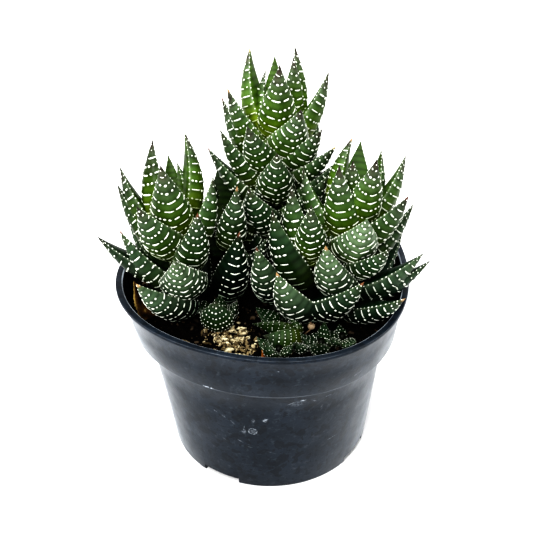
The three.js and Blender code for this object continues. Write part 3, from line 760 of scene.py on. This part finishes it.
def bead_mesh(places, normals, alongs, size, height, data):
    """Low rounded beads: each row of places is one bead's centreline along a band."""
    beads, samples = places.shape[:2]
    swell = np.sin(np.linspace(0, math.pi, samples + 2)[1:-1]) ** (0.5 if samples < 4 else 0.3)
    if samples > 4:
        swell = swell * (1 + 0.13 * np.cos(np.arange(samples) * math.pi))
    turns = np.linspace(-1.85, 1.85, BEAD_SIDES)
    wide = (size[:, None] * swell)[..., None, None] * np.sin(turns)[:, None] * alongs[:, :, None]
    lift = (height[:, None] * swell)[..., None, None] * np.cos(turns)[:, None] * normals[:, :, None]
    body = places[:, :, None] + wide + lift
    close = places[:, [0, -1]]
    ahead = close - places[:, [1, -2]]
    step = np.linalg.norm(ahead, axis=-1, keepdims=True)
    ends = close + unit(ahead) * np.minimum(step, size[:, None, None] * 0.6)
    per = samples * BEAD_SIDES + 2
    points = np.concatenate([body.reshape(beads, -1, 3), ends], 1).reshape(-1, 3)
    faces = ring_faces(samples, BEAD_SIDES)
    faces += [face[::-1] for face in fan_faces(0, BEAD_SIDES, per - 2)]
    faces += fan_faces((samples - 1) * BEAD_SIDES, BEAD_SIDES, per - 1)
    all_faces = [tuple(v + per * bead for v in face) for bead in range(beads) for face in faces]
    return points, all_faces, np.repeat(data, per, axis=0)


def leaf_beads(leaf, rng, scale):
    """One leaf's beads as (share along, first and last place across, size, dash or dot)."""
    fine = np.linspace(-1, 1, 61)
    beads = []
    for s in leaf.rows:
        line = leaf.outer(np.full(fine.shape, s), fine)
        run = np.r_[0, np.cumsum(np.linalg.norm(np.diff(line, axis=0), axis=1))]
        girth = run[-1]
        near_tip = max(0.0, (s - 0.5) / 0.45)
        near_root = max(0.0, (0.4 - s) / 0.35)
        reach = girth * (0.9 - 0.42 * near_tip**2) / 2
        middle = girth / 2 + rng.uniform(-0.3, 0.3)
        at = middle - reach * (1 + 2 * min(0, leaf.bare)) + rng.uniform(0, 0.6)
        while at < middle + reach * (1 - 2 * max(0, leaf.bare)):
            off = abs(at - middle) / max(reach, 0.1)
            size = BEAD_SIZE * (1 - 0.25 * off) * min(1, 0.62 + girth / 24)
            size *= rng.uniform(0.75, 1.15)
            dash = scale == 1 and rng.random() < 0.5 * (1 - near_tip) + 0.35 * near_root
            size *= (0.76 if dash else 0.97) * (1 - 0.4 * near_root) * scale
            long = rng.uniform(0.8, 3.1) * (1 + near_root) if dash else 0.0
            start, end = np.interp([at - 0.12, at + long + 0.12], run, fine)
            beads.append((s - 0.02 * (1 - off), start, end, size, dash))
            gap = rng.uniform(0.4, 1.1) * (1 - 0.45 * near_root)
            at += long + size * 2 + (gap if scale == 1 else gap * 0.8 + 0.2)
    return beads


def margin_beads(leaf, rng):
    """Small beads along both margins, as (share, side, size)."""
    beads = []
    for side in (-1, 1):
        s = 0.1 + rng.uniform(0, 0.03)
        while s < 0.95:
            beads.append((s, side, rng.uniform(0.2, 0.36) * (1.05 - 0.4 * s)))
            s += rng.uniform(1.4, 2.4) / leaf.length * (1.1 - 0.4 * s)
    return beads


def inner_beads(leaf, rng, size):
    """Fine dots on the inner face of an offset's leaf."""
    s, a = [], []
    for row in leaf.rows:
        dots = max(1, round(leaf.half * width_share(row) * 2 / 1.15))
        s += list(row + rng.uniform(-0.02, 0.02, dots))
        a += list((np.arange(dots) + 0.5) / dots * 1.4 - 0.7 + rng.uniform(-0.08, 0.08, dots))
    s, a = np.array(s), np.array(a)
    step = np.array([-0.5, 0, 0.5]) * size / leaf.half
    place = leaf.inner(np.repeat(s[:, None], 3, 1), a[:, None] + step)
    _, face = leaf.midline(s)
    ahead = unit(leaf.midline(s + 0.01)[0] - leaf.midline(s - 0.01)[0])
    sizes = size * rng.uniform(0.7, 1.1, len(s))
    normals = np.repeat(-face[:, None], 3, 1)
    data = leaf.data(len(s))
    data[:, 0] = np.maximum(s, 0.35)
    alongs = np.repeat(ahead[:, None], 3, 1)
    return bead_mesh(place + face[:, None] * 0.06, normals, alongs, sizes, sizes * 0.8, data)


def bead_parts(leaf, rng, scale):
    """All of one leaf's bead meshes."""
    parts = [inner_beads(leaf, rng, INNER_DOT_SIZE)] if scale < 1 else []
    found = leaf_beads(leaf, rng, scale)
    for kind, samples in ((False, DOT_SAMPLES), (True, DASH_SAMPLES)):
        chosen = [bead for bead in found if bead[4] == kind]
        if not chosen:
            continue
        s, first, last, size = (np.array([bead[k] for bead in chosen]) for k in range(4))
        t = np.linspace(0, 1, samples)
        a = first[:, None] + (last - first)[:, None] * t
        if not kind:
            spread = size / np.maximum(leaf.half * width_share(s), 0.6) * 0.42
            a = ((first + last) / 2)[:, None] + spread[:, None] * (t * 2 - 1)
        share = s[:, None] + 0.022 * np.abs(a) ** 1.5
        place, normal, along = leaf.axes(share, np.clip(a, -0.985, 0.985))
        data = leaf.data(len(s))
        data[:, 0] = s if scale == 1 else np.maximum(s, 0.38)
        parts.append(bead_mesh(place - normal * 0.08, normal, along, size, size * 0.8, data))
    s, side, size = np.array(margin_beads(leaf, rng), float).T
    size = size * scale
    share = s[:, None] + (size * 0.8 / leaf.length)[:, None] * np.array([-1, 0, 1])
    place = leaf.outer(share, np.repeat(side[:, None], 3, 1))
    normal = leaf.side * side[:, None, None] * np.ones_like(place)
    _, face = leaf.midline(share)
    data = leaf.data(len(s))
    data[:, 0] = np.maximum(s, 0.3)
    parts.append(bead_mesh(place - normal * 0.1, normal, face, size, size * 1.1, data))
    return parts


def rows_behind(count, start, span, low, high, lean, length, width):
    """Leaves round the back of a stem, more upright higher up."""
    rows = []
    for i in range(count):
        rise = i / (count - 1)
        direction = start + span * ((i * GOLDEN) % 1)
        rows.append((direction, low + (high - low) * rise, lean - 22 * rise, length, width))
    return rows


def stem_mesh(stem):
    """Round stem from under the soil to just below the crown."""
    foot, up = stem_line(stem)
    first = unit(np.cross(up, [0, 1, 0]))
    second = np.cross(up, first)
    places = []
    for level in range(STEM_LEVELS):
        share = level / (STEM_LEVELS - 1)
        centre = foot - up * STEM_BURIED + up * share * (stem["height"] + STEM_BURIED)
        radius = stem["radius"] * (1 - 0.3 * share)
        ring = circle(1, 0, STEM_SIDES)
        places += [centre + (first * x + second * y) * radius for x, y, _ in ring]
    data = np.tile([0.05, 0.0, 0.9, 0.0], (len(places), 1))
    faces = tube_faces(STEM_LEVELS, STEM_SIDES)
    return np.array(places), faces, data, np.zeros((len(places), 4))


def plant(name, stem, leaves, rng, looks, bead_scale=1.0):
    """The leaves and the beads of one plant."""
    skins = [leaf_mesh(leaf) for leaf in leaves] + [stem_mesh(stem)]
    places, faces, data, where = join_parts(skins)
    piece = make_piece(name + "_leaves", places, faces, looks["leaf"], [name])
    add_data(piece, "leaf_data", data)
    add_data(piece, "leaf_place", where)
    beads = [part for leaf in leaves for part in bead_parts(leaf, rng, bead_scale)]
    places, faces, data = join_parts(beads)
    piece = make_piece(name + "_beads", places, faces, looks["bead"], ())
    add_data(piece, "leaf_data", data)


def leaf_age(stem, row, extra):
    """Leaves low on the stem and far from upright are old."""
    rise = row[1] / stem["height"]
    upright = 1 - row[2] / 75
    return float(np.clip((1.12 - 0.9 * rise - 0.4 * upright + extra) * 1.1, 0, 1))


def build_plants(looks):
    """The leafy stems and the young offsets."""
    for index, (name, stem) in enumerate(ROSETTES.items()):
        rng = np.random.default_rng(ROSETTE_SEED + index)
        extra = SHADE_AGE.get(name, 0.0)
        rows = stem["leaves"] + rows_behind(**stem["behind"])
        stem["shaded"] = name in SHADED
        leaves = [Leaf(stem, row, leaf_age(stem, row, extra), rng) for row in rows]
        plant(name, stem, leaves, rng, looks)
    for index, (name, offset) in enumerate(OFFSETS.items()):
        rng = np.random.default_rng(OFFSET_SEED + index)
        # Offsets count as shaded and so get painted shade.
        stem = dict(crown=offset["root"], height=2.8, radius=1.5, shaded=True) | offset
        leaves = [Leaf(stem, row, offset["age"], rng) for row in offset["leaves"]]
        plant(name, stem, leaves, rng, looks, offset.get("dots", OFFSET_DOTS))


# ---------------------------------------------------------------- pot


def oval_share(angle, z):
    """Out-of-round share of the radius, none at the base and full at the lip."""
    wave = (
        OVAL["cos2"] * np.cos(2 * angle)
        + OVAL["sin2"] * np.sin(2 * angle)
        + OVAL["cos3"] * np.cos(3 * angle)
        + OVAL["sin3"] * np.sin(3 * angle)
    )
    return 1 + wave * np.clip(z / POT_HEIGHT, 0, 1) ** 1.5


def make_oval(places):
    """Places in millimetres pushed out of round as the pot's wall is."""
    places = np.array(places, float)
    share = oval_share(np.arctan2(places[:, 1], places[:, 0]), places[:, 2])
    places[:, :2] *= share[:, None]
    return places


def turned(name, outline, sides=180):
    """Body turned about the z axis from (radius, height) points that start and end on it."""
    (_, bottom), *rings, (_, top) = outline
    places = [(0, 0, bottom)]
    for radius, height in rings:
        places += circle(radius, height, sides)
    places.append((0, 0, top))
    faces = [face[::-1] for face in fan_faces(1, sides, 0)]
    faces += ring_faces(len(rings), sides, 1)
    faces += fan_faces(len(places) - 1 - sides, sides, len(places) - 1)
    return add_object(name, places, faces)


def sector_block(name, inner, outer, centre, width, low, high, steps=24):
    """Sector-shaped block between two radii."""
    places = []
    for i in range(steps + 1):
        angle = math.radians(centre - width / 2 + width * i / steps)
        for radius, z in ((inner, low), (inner, high), (outer, high), (outer, low)):
            places.append((radius * math.cos(angle), radius * math.sin(angle), z))
    return add_object(name, places, tube_faces(steps + 1, 4))


def rod(name, x, y, radius, low, high, sides=32):
    """Upright round rod."""
    places = np.array(circle(radius, low, sides) + circle(radius, high, sides)) + (x, y, 0)
    return add_object(name, places, tube_faces(2, sides))


def carve(target, cutter):
    """Cuts one object by another, which then goes."""
    change = target.modifiers.new("carve", "BOOLEAN")
    change.operation = "DIFFERENCE"
    change.solver = "EXACT"
    change.object = cutter
    graph = bpy.context.evaluated_depsgraph_get()
    mesh = bpy.data.meshes.new_from_object(target.evaluated_get(graph))
    target.modifiers.clear()
    target.data = mesh
    bpy.data.objects.remove(cutter)


def build_pot(look, inside):
    """The pot's wall turned in one go, hollowed, notched and drilled, then out of round."""
    base, neck, collar, rim = BASE_RADIUS, NECK_RADIUS, COLLAR_BOTTOM_RADIUS, RIM_RADIUS
    step, lip, top = COLLAR_BOTTOM, POT_HEIGHT - LIP_HEIGHT, POT_HEIGHT
    outside = [(0, 0), (base - 0.5, 0), (base - 0.15, 0.15), (base, 0.5), (base + 0.1, 0.9)]
    outside += [(base + (neck - base) * share, step * share) for share in (0.25, 0.5, 0.75)]
    outside += [
        (neck, step - 0.6),
        (neck + 0.3, step - 0.3),
        (collar - 0.6, step - 0.05),
        (collar - 0.2, step + 0.1),
        (collar, step + 0.55),
        ((collar + COLLAR_TOP_RADIUS) / 2, (step + lip) / 2),
        (COLLAR_TOP_RADIUS, lip - 0.4),
        (COLLAR_TOP_RADIUS + 0.25, lip),
        (rim - 0.35, lip + 0.02),
        (rim - 0.08, lip + 0.15),
        (rim, lip + 0.45),
        (rim, top - 0.45),
        (rim - 0.12, top - 0.12),
        (rim - 0.45, top),
        (0, top),
    ]
    body = turned("pot_wall", outside)
    mouth = rim - LIP_WIDTH
    hollow = turned(
        "pot_hollow",
        [
            (0, FLOOR),
            (base - WALL + 0.2, FLOOR),
            (neck - WALL, step + 0.4),
            (neck - WALL + 0.3, step + 1.0),
            (collar - WALL - 0.2, step + 1.6),
            (mouth - 0.1, top - 0.6),
            (mouth + 0.1, top - 0.2),
            (mouth + 0.45, top + 0.001),
            (mouth + 0.5, top + 2),
            (0, top + 2),
        ],
    )
    roof_top = NOTCH_HEIGHT + FLOOR
    for at in NOTCH_DEGS:
        spread = (NOTCH_INNER_RADIUS - FLOOR, 48, at, NOTCH_WIDTH_DEG + 5)
        carve(hollow, sector_block("roof", *spread, 0.2, roof_top))
    carve(body, hollow)
    for at in NOTCH_DEGS:
        spread = (NOTCH_INNER_RADIUS, BASE_RADIUS + 5, at, NOTCH_WIDTH_DEG)
        carve(body, sector_block("notch", *spread, -1, NOTCH_HEIGHT))
        x, y = (DRAIN_PLACE * f(math.radians(at)) for f in (math.cos, math.sin))
        carve(body, rod("drain", x, y, DRAIN_RADIUS, -1, roof_top + 2))
    places = np.array([v.co for v in body.data.vertices])
    faces = [tuple(p.vertices) for p in body.data.polygons]
    bpy.data.objects.remove(body)
    piece = make_piece("nursery_pot", make_oval(places), faces, look, ["pot"])
    piece.data.set_sharp_from_angle(angle=math.radians(38))
    # The inward faces wear the inside material, which paints shade.
    piece.data.materials.append(inside)
    for face in piece.data.polygons:
        inward = face.center.x * face.normal.x + face.center.y * face.normal.y < 0
        if inward and (FLOOR + 1) * MM < face.center.z < (POT_HEIGHT - 0.7) * MM:
            face.material_index = 1


# ---------------------------------------------------------------- soil


def inner_radius(z):
    """Radius of the soil inside the pot's wall at a height."""
    foot, top = COLLAR_BOTTOM_RADIUS - WALL - 0.2, RIM_RADIUS - LIP_WIDTH
    share = (z - COLLAR_BOTTOM - 1.6) / (POT_HEIGHT - 1.9 - COLLAR_BOTTOM)
    return foot + (top - foot) * share - 0.35


def soil_height(x, y):
    """Height of the soil's lumpy surface."""
    place = Vector((x, y, 0))
    lumps = noise.fractal(place * 0.16, 1.0, 2.0, 4) * 0.9
    crumbs = noise.fractal(place * 0.9 + Vector((9, 4, 1)), 1.0, 2.1, 3) * 0.45
    return SOIL_TOP - 0.7 + lumps + crumbs


def build_soil(look):
    """Soil from its lumpy top, ring by ring, down the pot's wall to the floor."""
    sides, rings = 200, 64
    edge = inner_radius(SOIL_TOP)
    places = [(0.0, 0.0, soil_height(0, 0))]
    for ring in range(1, rings + 1):
        for x, y, _ in circle(edge * ring / rings, 0, sides):
            places.append((x, y, soil_height(x, y)))
    down = [
        (inner_radius(60), 60.0),
        (COLLAR_BOTTOM_RADIUS - 1.9, COLLAR_BOTTOM + 1.9),
        (NECK_RADIUS - WALL - 0.3, COLLAR_BOTTOM + 0.7),
        (36.0, 5.2),
    ]
    for radius, height in down:
        places += circle(radius, height, sides)
    faces = fan_faces(1, sides, 0)
    faces += [(p, s, r, q) for p, q, r, s in ring_faces(rings + len(down), sides, 1)]
    faces.append(tuple(range(len(places) - 1, len(places) - 1 - sides, -1)))
    make_piece("potting_mix", make_oval(places), faces, look, ["soil"])


def grain_shapes(count, seed, subdivisions=1):
    """A few lumpy grains of radius one to copy from, as (places, faces)."""
    shapes = []
    for k in range(count):
        ball = bmesh.new()
        bmesh.ops.create_icosphere(ball, subdivisions=subdivisions, radius=1.0)
        shift = Vector((k * 3.7 + seed, k * 1.9, k * 5.3))
        for v in ball.verts:
            lump = 0.38 * noise.noise(v.co * 1.3 + shift)
            v.co *= 1 + lump + 0.16 * noise.noise(v.co * 3.1 + shift)
        places = np.array([v.co for v in ball.verts])
        faces = [tuple(v.index for v in face.verts) for face in ball.faces]
        ball.free()
        shapes.append((places, faces))
    return shapes


def turn_matrix(rng):
    """A random turn."""
    axis = unit(rng.normal(size=3))
    return np.array(Matrix.Rotation(rng.uniform(0, 2 * math.pi), 3, Vector(axis)))


def scatter(name, spots, shapes, rng, look, replaces):
    """Grains at spots of (x, y, z, size in three directions, tint) as one piece."""
    parts = []
    for x, y, z, size, tint in spots:
        places, faces = shapes[rng.integers(len(shapes))]
        parts.append(((places * size) @ turn_matrix(rng).T + (x, y, z), faces, tint))
    tinted_piece(name, parts, look, replaces)


def on_soil(x, y, margin=1.5):
    """Whether a place lies on the soil, clear of the pot's wall."""
    edge = (inner_radius(SOIL_TOP) - margin) * oval_share(math.atan2(y, x), SOIL_TOP)
    return math.hypot(x, y) < edge


def build_crumbs(look):
    """Bark and peat crumbs over the soil."""
    rng = np.random.default_rng(CRUMB_SEED)
    spots = []
    while len(spots) < CRUMB_COUNT:
        x, y = rng.uniform(-48, 48, 2)
        if not on_soil(x, y) or (y > 10 and rng.random() < 0.6):
            continue
        size = rng.choice([0.5, 0.7, 0.95, 1.3], p=[0.42, 0.3, 0.2, 0.08])
        size *= rng.uniform(0.8, 1.2)
        shape = size * rng.uniform([0.8, 0.6, 0.4], [1.5, 1.0, 0.8])
        spots.append((x, y, soil_height(x, y) + size * 0.15, shape, rng.random() ** 2.2))
    scatter("soil_crumbs", spots, grain_shapes(10, 2), rng, look, ())


def in_patch(x, y):
    """How thickly pale grains cover the soil, front left of the middle."""
    u, v = (x + 13.2 + 0.35 * (y + 30)) / 10.0, (y + 30) / 11.5
    ragged = noise.noise(Vector((x * 0.2, y * 0.2, 3.0)))
    clumps = noise.noise(Vector((x * 0.55, y * 0.55, 8.0)))
    return 1.0 - (u * u + v * v) + 0.6 * ragged + 0.9 * clumps


def build_gravel(look):
    """Pale grains of many sizes, thick in the patch and a few beside it."""
    rng = np.random.default_rng(GRAIN_SEED)
    spots = []
    while len(spots) < GRAIN_COUNT:
        x, y = rng.uniform(-32, 2), rng.uniform(-46, -13)
        depth = in_patch(x, y)
        if not on_soil(x, y, 1.0) or (depth < rng.uniform(0.1, 0.8) and rng.random() > 0.006):
            continue
        size = rng.choice([0.25, 0.4, 0.6, 0.95], p=[0.42, 0.34, 0.18, 0.06])
        size *= rng.uniform(0.8, 1.2)
        z = SOIL_TOP + 0.1 + rng.random() * 0.9 * min(1, max(0.2, depth)) - 0.3 * size
        shape = size * rng.uniform([0.85, 0.55, 0.35], [1.9, 1.1, 0.8])
        spots.append((x, y, z, shape, rng.random() ** (1.5 if size < 0.6 else 1.0)))
    scatter("pumice_grains", spots, grain_shapes(14, 5), rng, look, ["gravel_patch"])


def tube(points, radii, sides=5):
    """Round tube through points, closed at both ends."""
    points = np.asarray(points, float)
    ahead = unit(np.gradient(points, axis=0))
    first = unit(np.cross(ahead, [0.31, 0.17, 0.93]))
    second = np.cross(ahead, first)
    turns = np.linspace(0, 2 * math.pi, sides, endpoint=False)
    ring = first[:, None] * np.cos(turns)[:, None] + second[:, None] * np.sin(turns)[:, None]
    places = (points[:, None] + ring * np.asarray(radii)[:, None, None]).reshape(-1, 3)
    return places, tube_faces(len(points), sides)


# Straws that show in the photograph: two ends and how pale they are.
STRAWS = [
    ((-30.5, -29.5), (-26.5, -32.0), 0.9),
    ((-29.8, -31.5), (-27.5, -33.0), 0.7),
    ((6.4, -38.6), (8.2, -35.4), 0.8),
    ((20.2, -36.6), (22.6, -39.6), 0.9),
    ((13.0, -30.6), (18.0, -30.9), 0.6),
    ((-4.5, -16.0), (-1.5, -17.6), 0.8),
]


def build_litter(look):
    """Straws and fibres on the soil."""
    rng = np.random.default_rng(STRAW_SEED)
    threads = [(*ends, pale) for *ends, pale in STRAWS]
    while len(threads) < THREAD_COUNT:
        x, y = rng.uniform(-42, 42), rng.uniform(-43, 10)
        turn, long = rng.uniform(0, math.pi), rng.uniform(1.2, 4.5)
        end = (x + long * math.cos(turn), y + long * math.sin(turn))
        if on_soil(x, y, 2) and on_soil(*end, 2):
            threads.append(((x, y), end, rng.random() ** 2 * 0.8))
    parts = []
    for (x0, y0), (x1, y1), pale in threads:
        t = np.linspace(0, 1, 6)
        arch = np.sin(t * math.pi)
        sway = arch * rng.uniform(-0.8, 0.8)
        x = x0 + (x1 - x0) * t - (y1 - y0) * 0.2 * sway
        y = y0 + (y1 - y0) * t + (x1 - x0) * 0.2 * sway
        z = np.array([soil_height(u, v) for u, v in zip(x, y)]) + 0.45
        z += arch * rng.uniform(0.1, 0.9)
        thick = rng.uniform(0.1, 0.24)
        parts.append((*tube(np.c_[x, y, z], thick * (0.5 + 0.5 * arch)), pale))
    tinted_piece("soil_straws", parts, look, ())


# ---------------------------------------------------------------- dead leaves and husk


def papery_leaf(name, root, row, crumple, look, node):
    """A dead leaf: the shape of a live one, shrivelled and crumpled."""
    rng = np.random.default_rng(DEAD_LEAF_SEED)
    leaf = Leaf(dict(root=root, crown=root, height=10, radius=0), row, 0.5, rng)
    places, faces, data, where = leaf_mesh(leaf)
    folds = [noise.noise(Vector(p * 0.42)) + 0.5 * noise.noise(Vector(p * 1.1)) for p in places]
    folds = np.array(folds)
    middle, face = leaf.midline(data[:, 0])
    places = middle + (places - middle) * (0.66 + 0.35 * folds)[:, None]
    places += face * (folds * crumple)[:, None]
    places[:, 2] = np.maximum(places[:, 2], SOIL_TOP + 0.3)
    piece = make_piece(name, places, faces, look, [node])
    edge = where[:, 0] ** 3 * (0.6 + 0.8 * np.abs(folds))
    tint = np.clip(0.18 + 0.7 * folds + 0.8 * edge, 0, 1)
    add_data(piece, "tint", np.c_[tint, tint, tint, np.ones(len(tint))])


def build_husk(look):
    """A round husk with a small crown on its bent stalk."""
    ball, faces = grain_shapes(1, 9, 3)[0]
    centre = np.array(HUSK_PLACE)
    body = centre + ball * 0.3 + unit(ball) * [1.05, 0.95, 0.95]
    crown = tube([centre + [-0.1, 0, 0.9], centre + [-0.4, 0.1, 1.7]], [0.7, 0.3], 7)
    foot = np.array(STALK_FOOT)
    t = np.linspace(0, 1, 7)[:, None]
    path = foot + (centre - [0.4, 0.8, 1.0] - foot) * t
    path += np.array([0.3, -0.5, 0.8]) * np.sin(t * math.pi)
    stalk = tube(path, np.linspace(0.28, 0.36, 7), 6)
    parts = [(body, faces, 0.8), (*crown, 0.5), (*stalk, 0.35)]
    tinted_piece("husk_and_stalk", parts, look, ["seed_husk"])


# ---------------------------------------------------------------- scene


def build_floor():
    """A wide white floor under the pot."""
    look = Look("floor_white", Roughness=0.7)
    look.colour(look.ramp(look.noise(3.0), [(0.3, (0.86,) * 3), (0.7, (0.88,) * 3)]))
    corners = [(-6, -6, 0), (6, -6, 0), (6, 6, 0), (-6, 6, 0)]
    floor = add_object("floor", corners, [(0, 1, 2, 3)])
    floor.data.materials.append(look.material)


# The photograph's view: distance and elevation from the pot's foot, focal length in pixels,
# and how far the view is turned off the foot.
PHOTO_SIDE = 533
SENSOR_WIDTH = 36
CAMERA_DISTANCE = 500.1
CAMERA_ELEVATION = 43.14
FOCAL_PIXELS = 1250.1
CAMERA_YAW = -0.14
CAMERA_PITCH = 6.92
CAMERA_ROLL = -0.39


def build_camera():
    """The camera in the photograph's place."""
    elevation = math.radians(CAMERA_ELEVATION)
    place = Vector((0, -math.cos(elevation), math.sin(elevation))) * CAMERA_DISTANCE
    ahead = -place.normalized()
    right = ahead.cross(Vector((0, 0, 1))).normalized()
    up = right.cross(ahead)
    ahead += math.tan(math.radians(CAMERA_YAW)) * right
    ahead += math.tan(math.radians(CAMERA_PITCH)) * up
    ahead.normalize()
    right = ahead.cross(Vector((0, 0, 1))).normalized()
    up = right.cross(ahead)
    roll = math.radians(CAMERA_ROLL)
    side = right * math.cos(roll) + up * math.sin(roll)
    top = up * math.cos(roll) - right * math.sin(roll)
    data = bpy.data.cameras.new("camera")
    data.sensor_width = SENSOR_WIDTH
    data.lens = SENSOR_WIDTH * FOCAL_PIXELS / PHOTO_SIDE
    camera = link("camera", data)
    turn = Matrix((side, top, -ahead)).transposed().to_4x4()
    camera.matrix_world = Matrix.Translation(place * MM) @ turn
    bpy.context.scene.camera = camera


def area_light(name, place, power, size):
    """A square lamp that faces the pot."""
    data = bpy.data.lights.new(name, "AREA")
    data.energy = power
    data.size = size
    lamp = link(name, data)
    lamp.location = place
    aim = Vector((0, 0, 0.08)) - Vector(place)
    lamp.rotation_euler = aim.to_track_quat("-Z", "Y").to_euler()


def build_lights():
    """A white tent round the pot, open and darker on the viewer's side, and soft lamps above."""
    world = bpy.data.worlds.new("studio")
    world.use_nodes = True
    tree = world.node_tree
    background = tree.nodes["Background"]
    where = tree.nodes.new("ShaderNodeTexCoord")
    split = tree.nodes.new("ShaderNodeSeparateXYZ")
    fade = tree.nodes.new("ShaderNodeMapRange")
    for key, value in (("From Min", -0.7), ("From Max", 0.3), ("To Min", 0.15), ("To Max", 1.0)):
        fade.inputs[key].default_value = value
    tree.links.new(where.outputs["Generated"], split.inputs[0])
    tree.links.new(split.outputs["Y"], fade.inputs["Value"])
    tree.links.new(fade.outputs["Result"], background.inputs["Strength"])
    background.inputs["Color"].default_value = (1, 1, 1, 1)
    bpy.context.scene.world = world
    area_light("key", (-0.3, -0.85, 0.95), 14, 0.6)
    area_light("top", (0.2, 0.1, 1.3), 6.5, 1.0)
    bpy.context.scene.view_settings.view_transform = "Standard"
    bpy.context.scene.view_settings.look = "Very High Contrast"


looks = {"leaf": leaf_look(), "bead": bead_look()}
build_camera()
build_lights()
build_floor()
build_pot(pot_look(), shaded_pot_inside_look())
build_soil(soil_look())
bark = crumb_look("bark_crumbs", (0.002, 0.0015, 0.0015), (0.014, 0.011, 0.009), (0.13, 0.10, 0.07))
build_crumbs(bark)
build_litter(crumb_look("straw", (0.02, 0.012, 0.007), (0.16, 0.10, 0.05), (0.62, 0.50, 0.30)))
build_gravel(crumb_look("pumice", (0.05, 0.035, 0.016), (0.40, 0.32, 0.18), (0.90, 0.84, 0.60)))
dead = crumb_look("dead_leaf", (0.010, 0.005, 0.002), (0.085, 0.045, 0.015), (0.62, 0.46, 0.16))
orange = crumb_look("dead_tip", (0.10, 0.03, 0.006), (0.42, 0.15, 0.03), (0.66, 0.38, 0.12))
papery_leaf("shrivelled_leaf", (-42.5, -19), (118, -2, 61, 17, 7.5), 0.7, dead, "dry_leaf")
papery_leaf("shrivelled_tip", (-1.2, -42), (100, -1, 68, 7, 4), 0.3, orange, "dry_flake")
build_husk(crumb_look("husk_skin", (0.08, 0.055, 0.035), (0.28, 0.20, 0.13), (0.66, 0.54, 0.38)))
build_plants(looks)
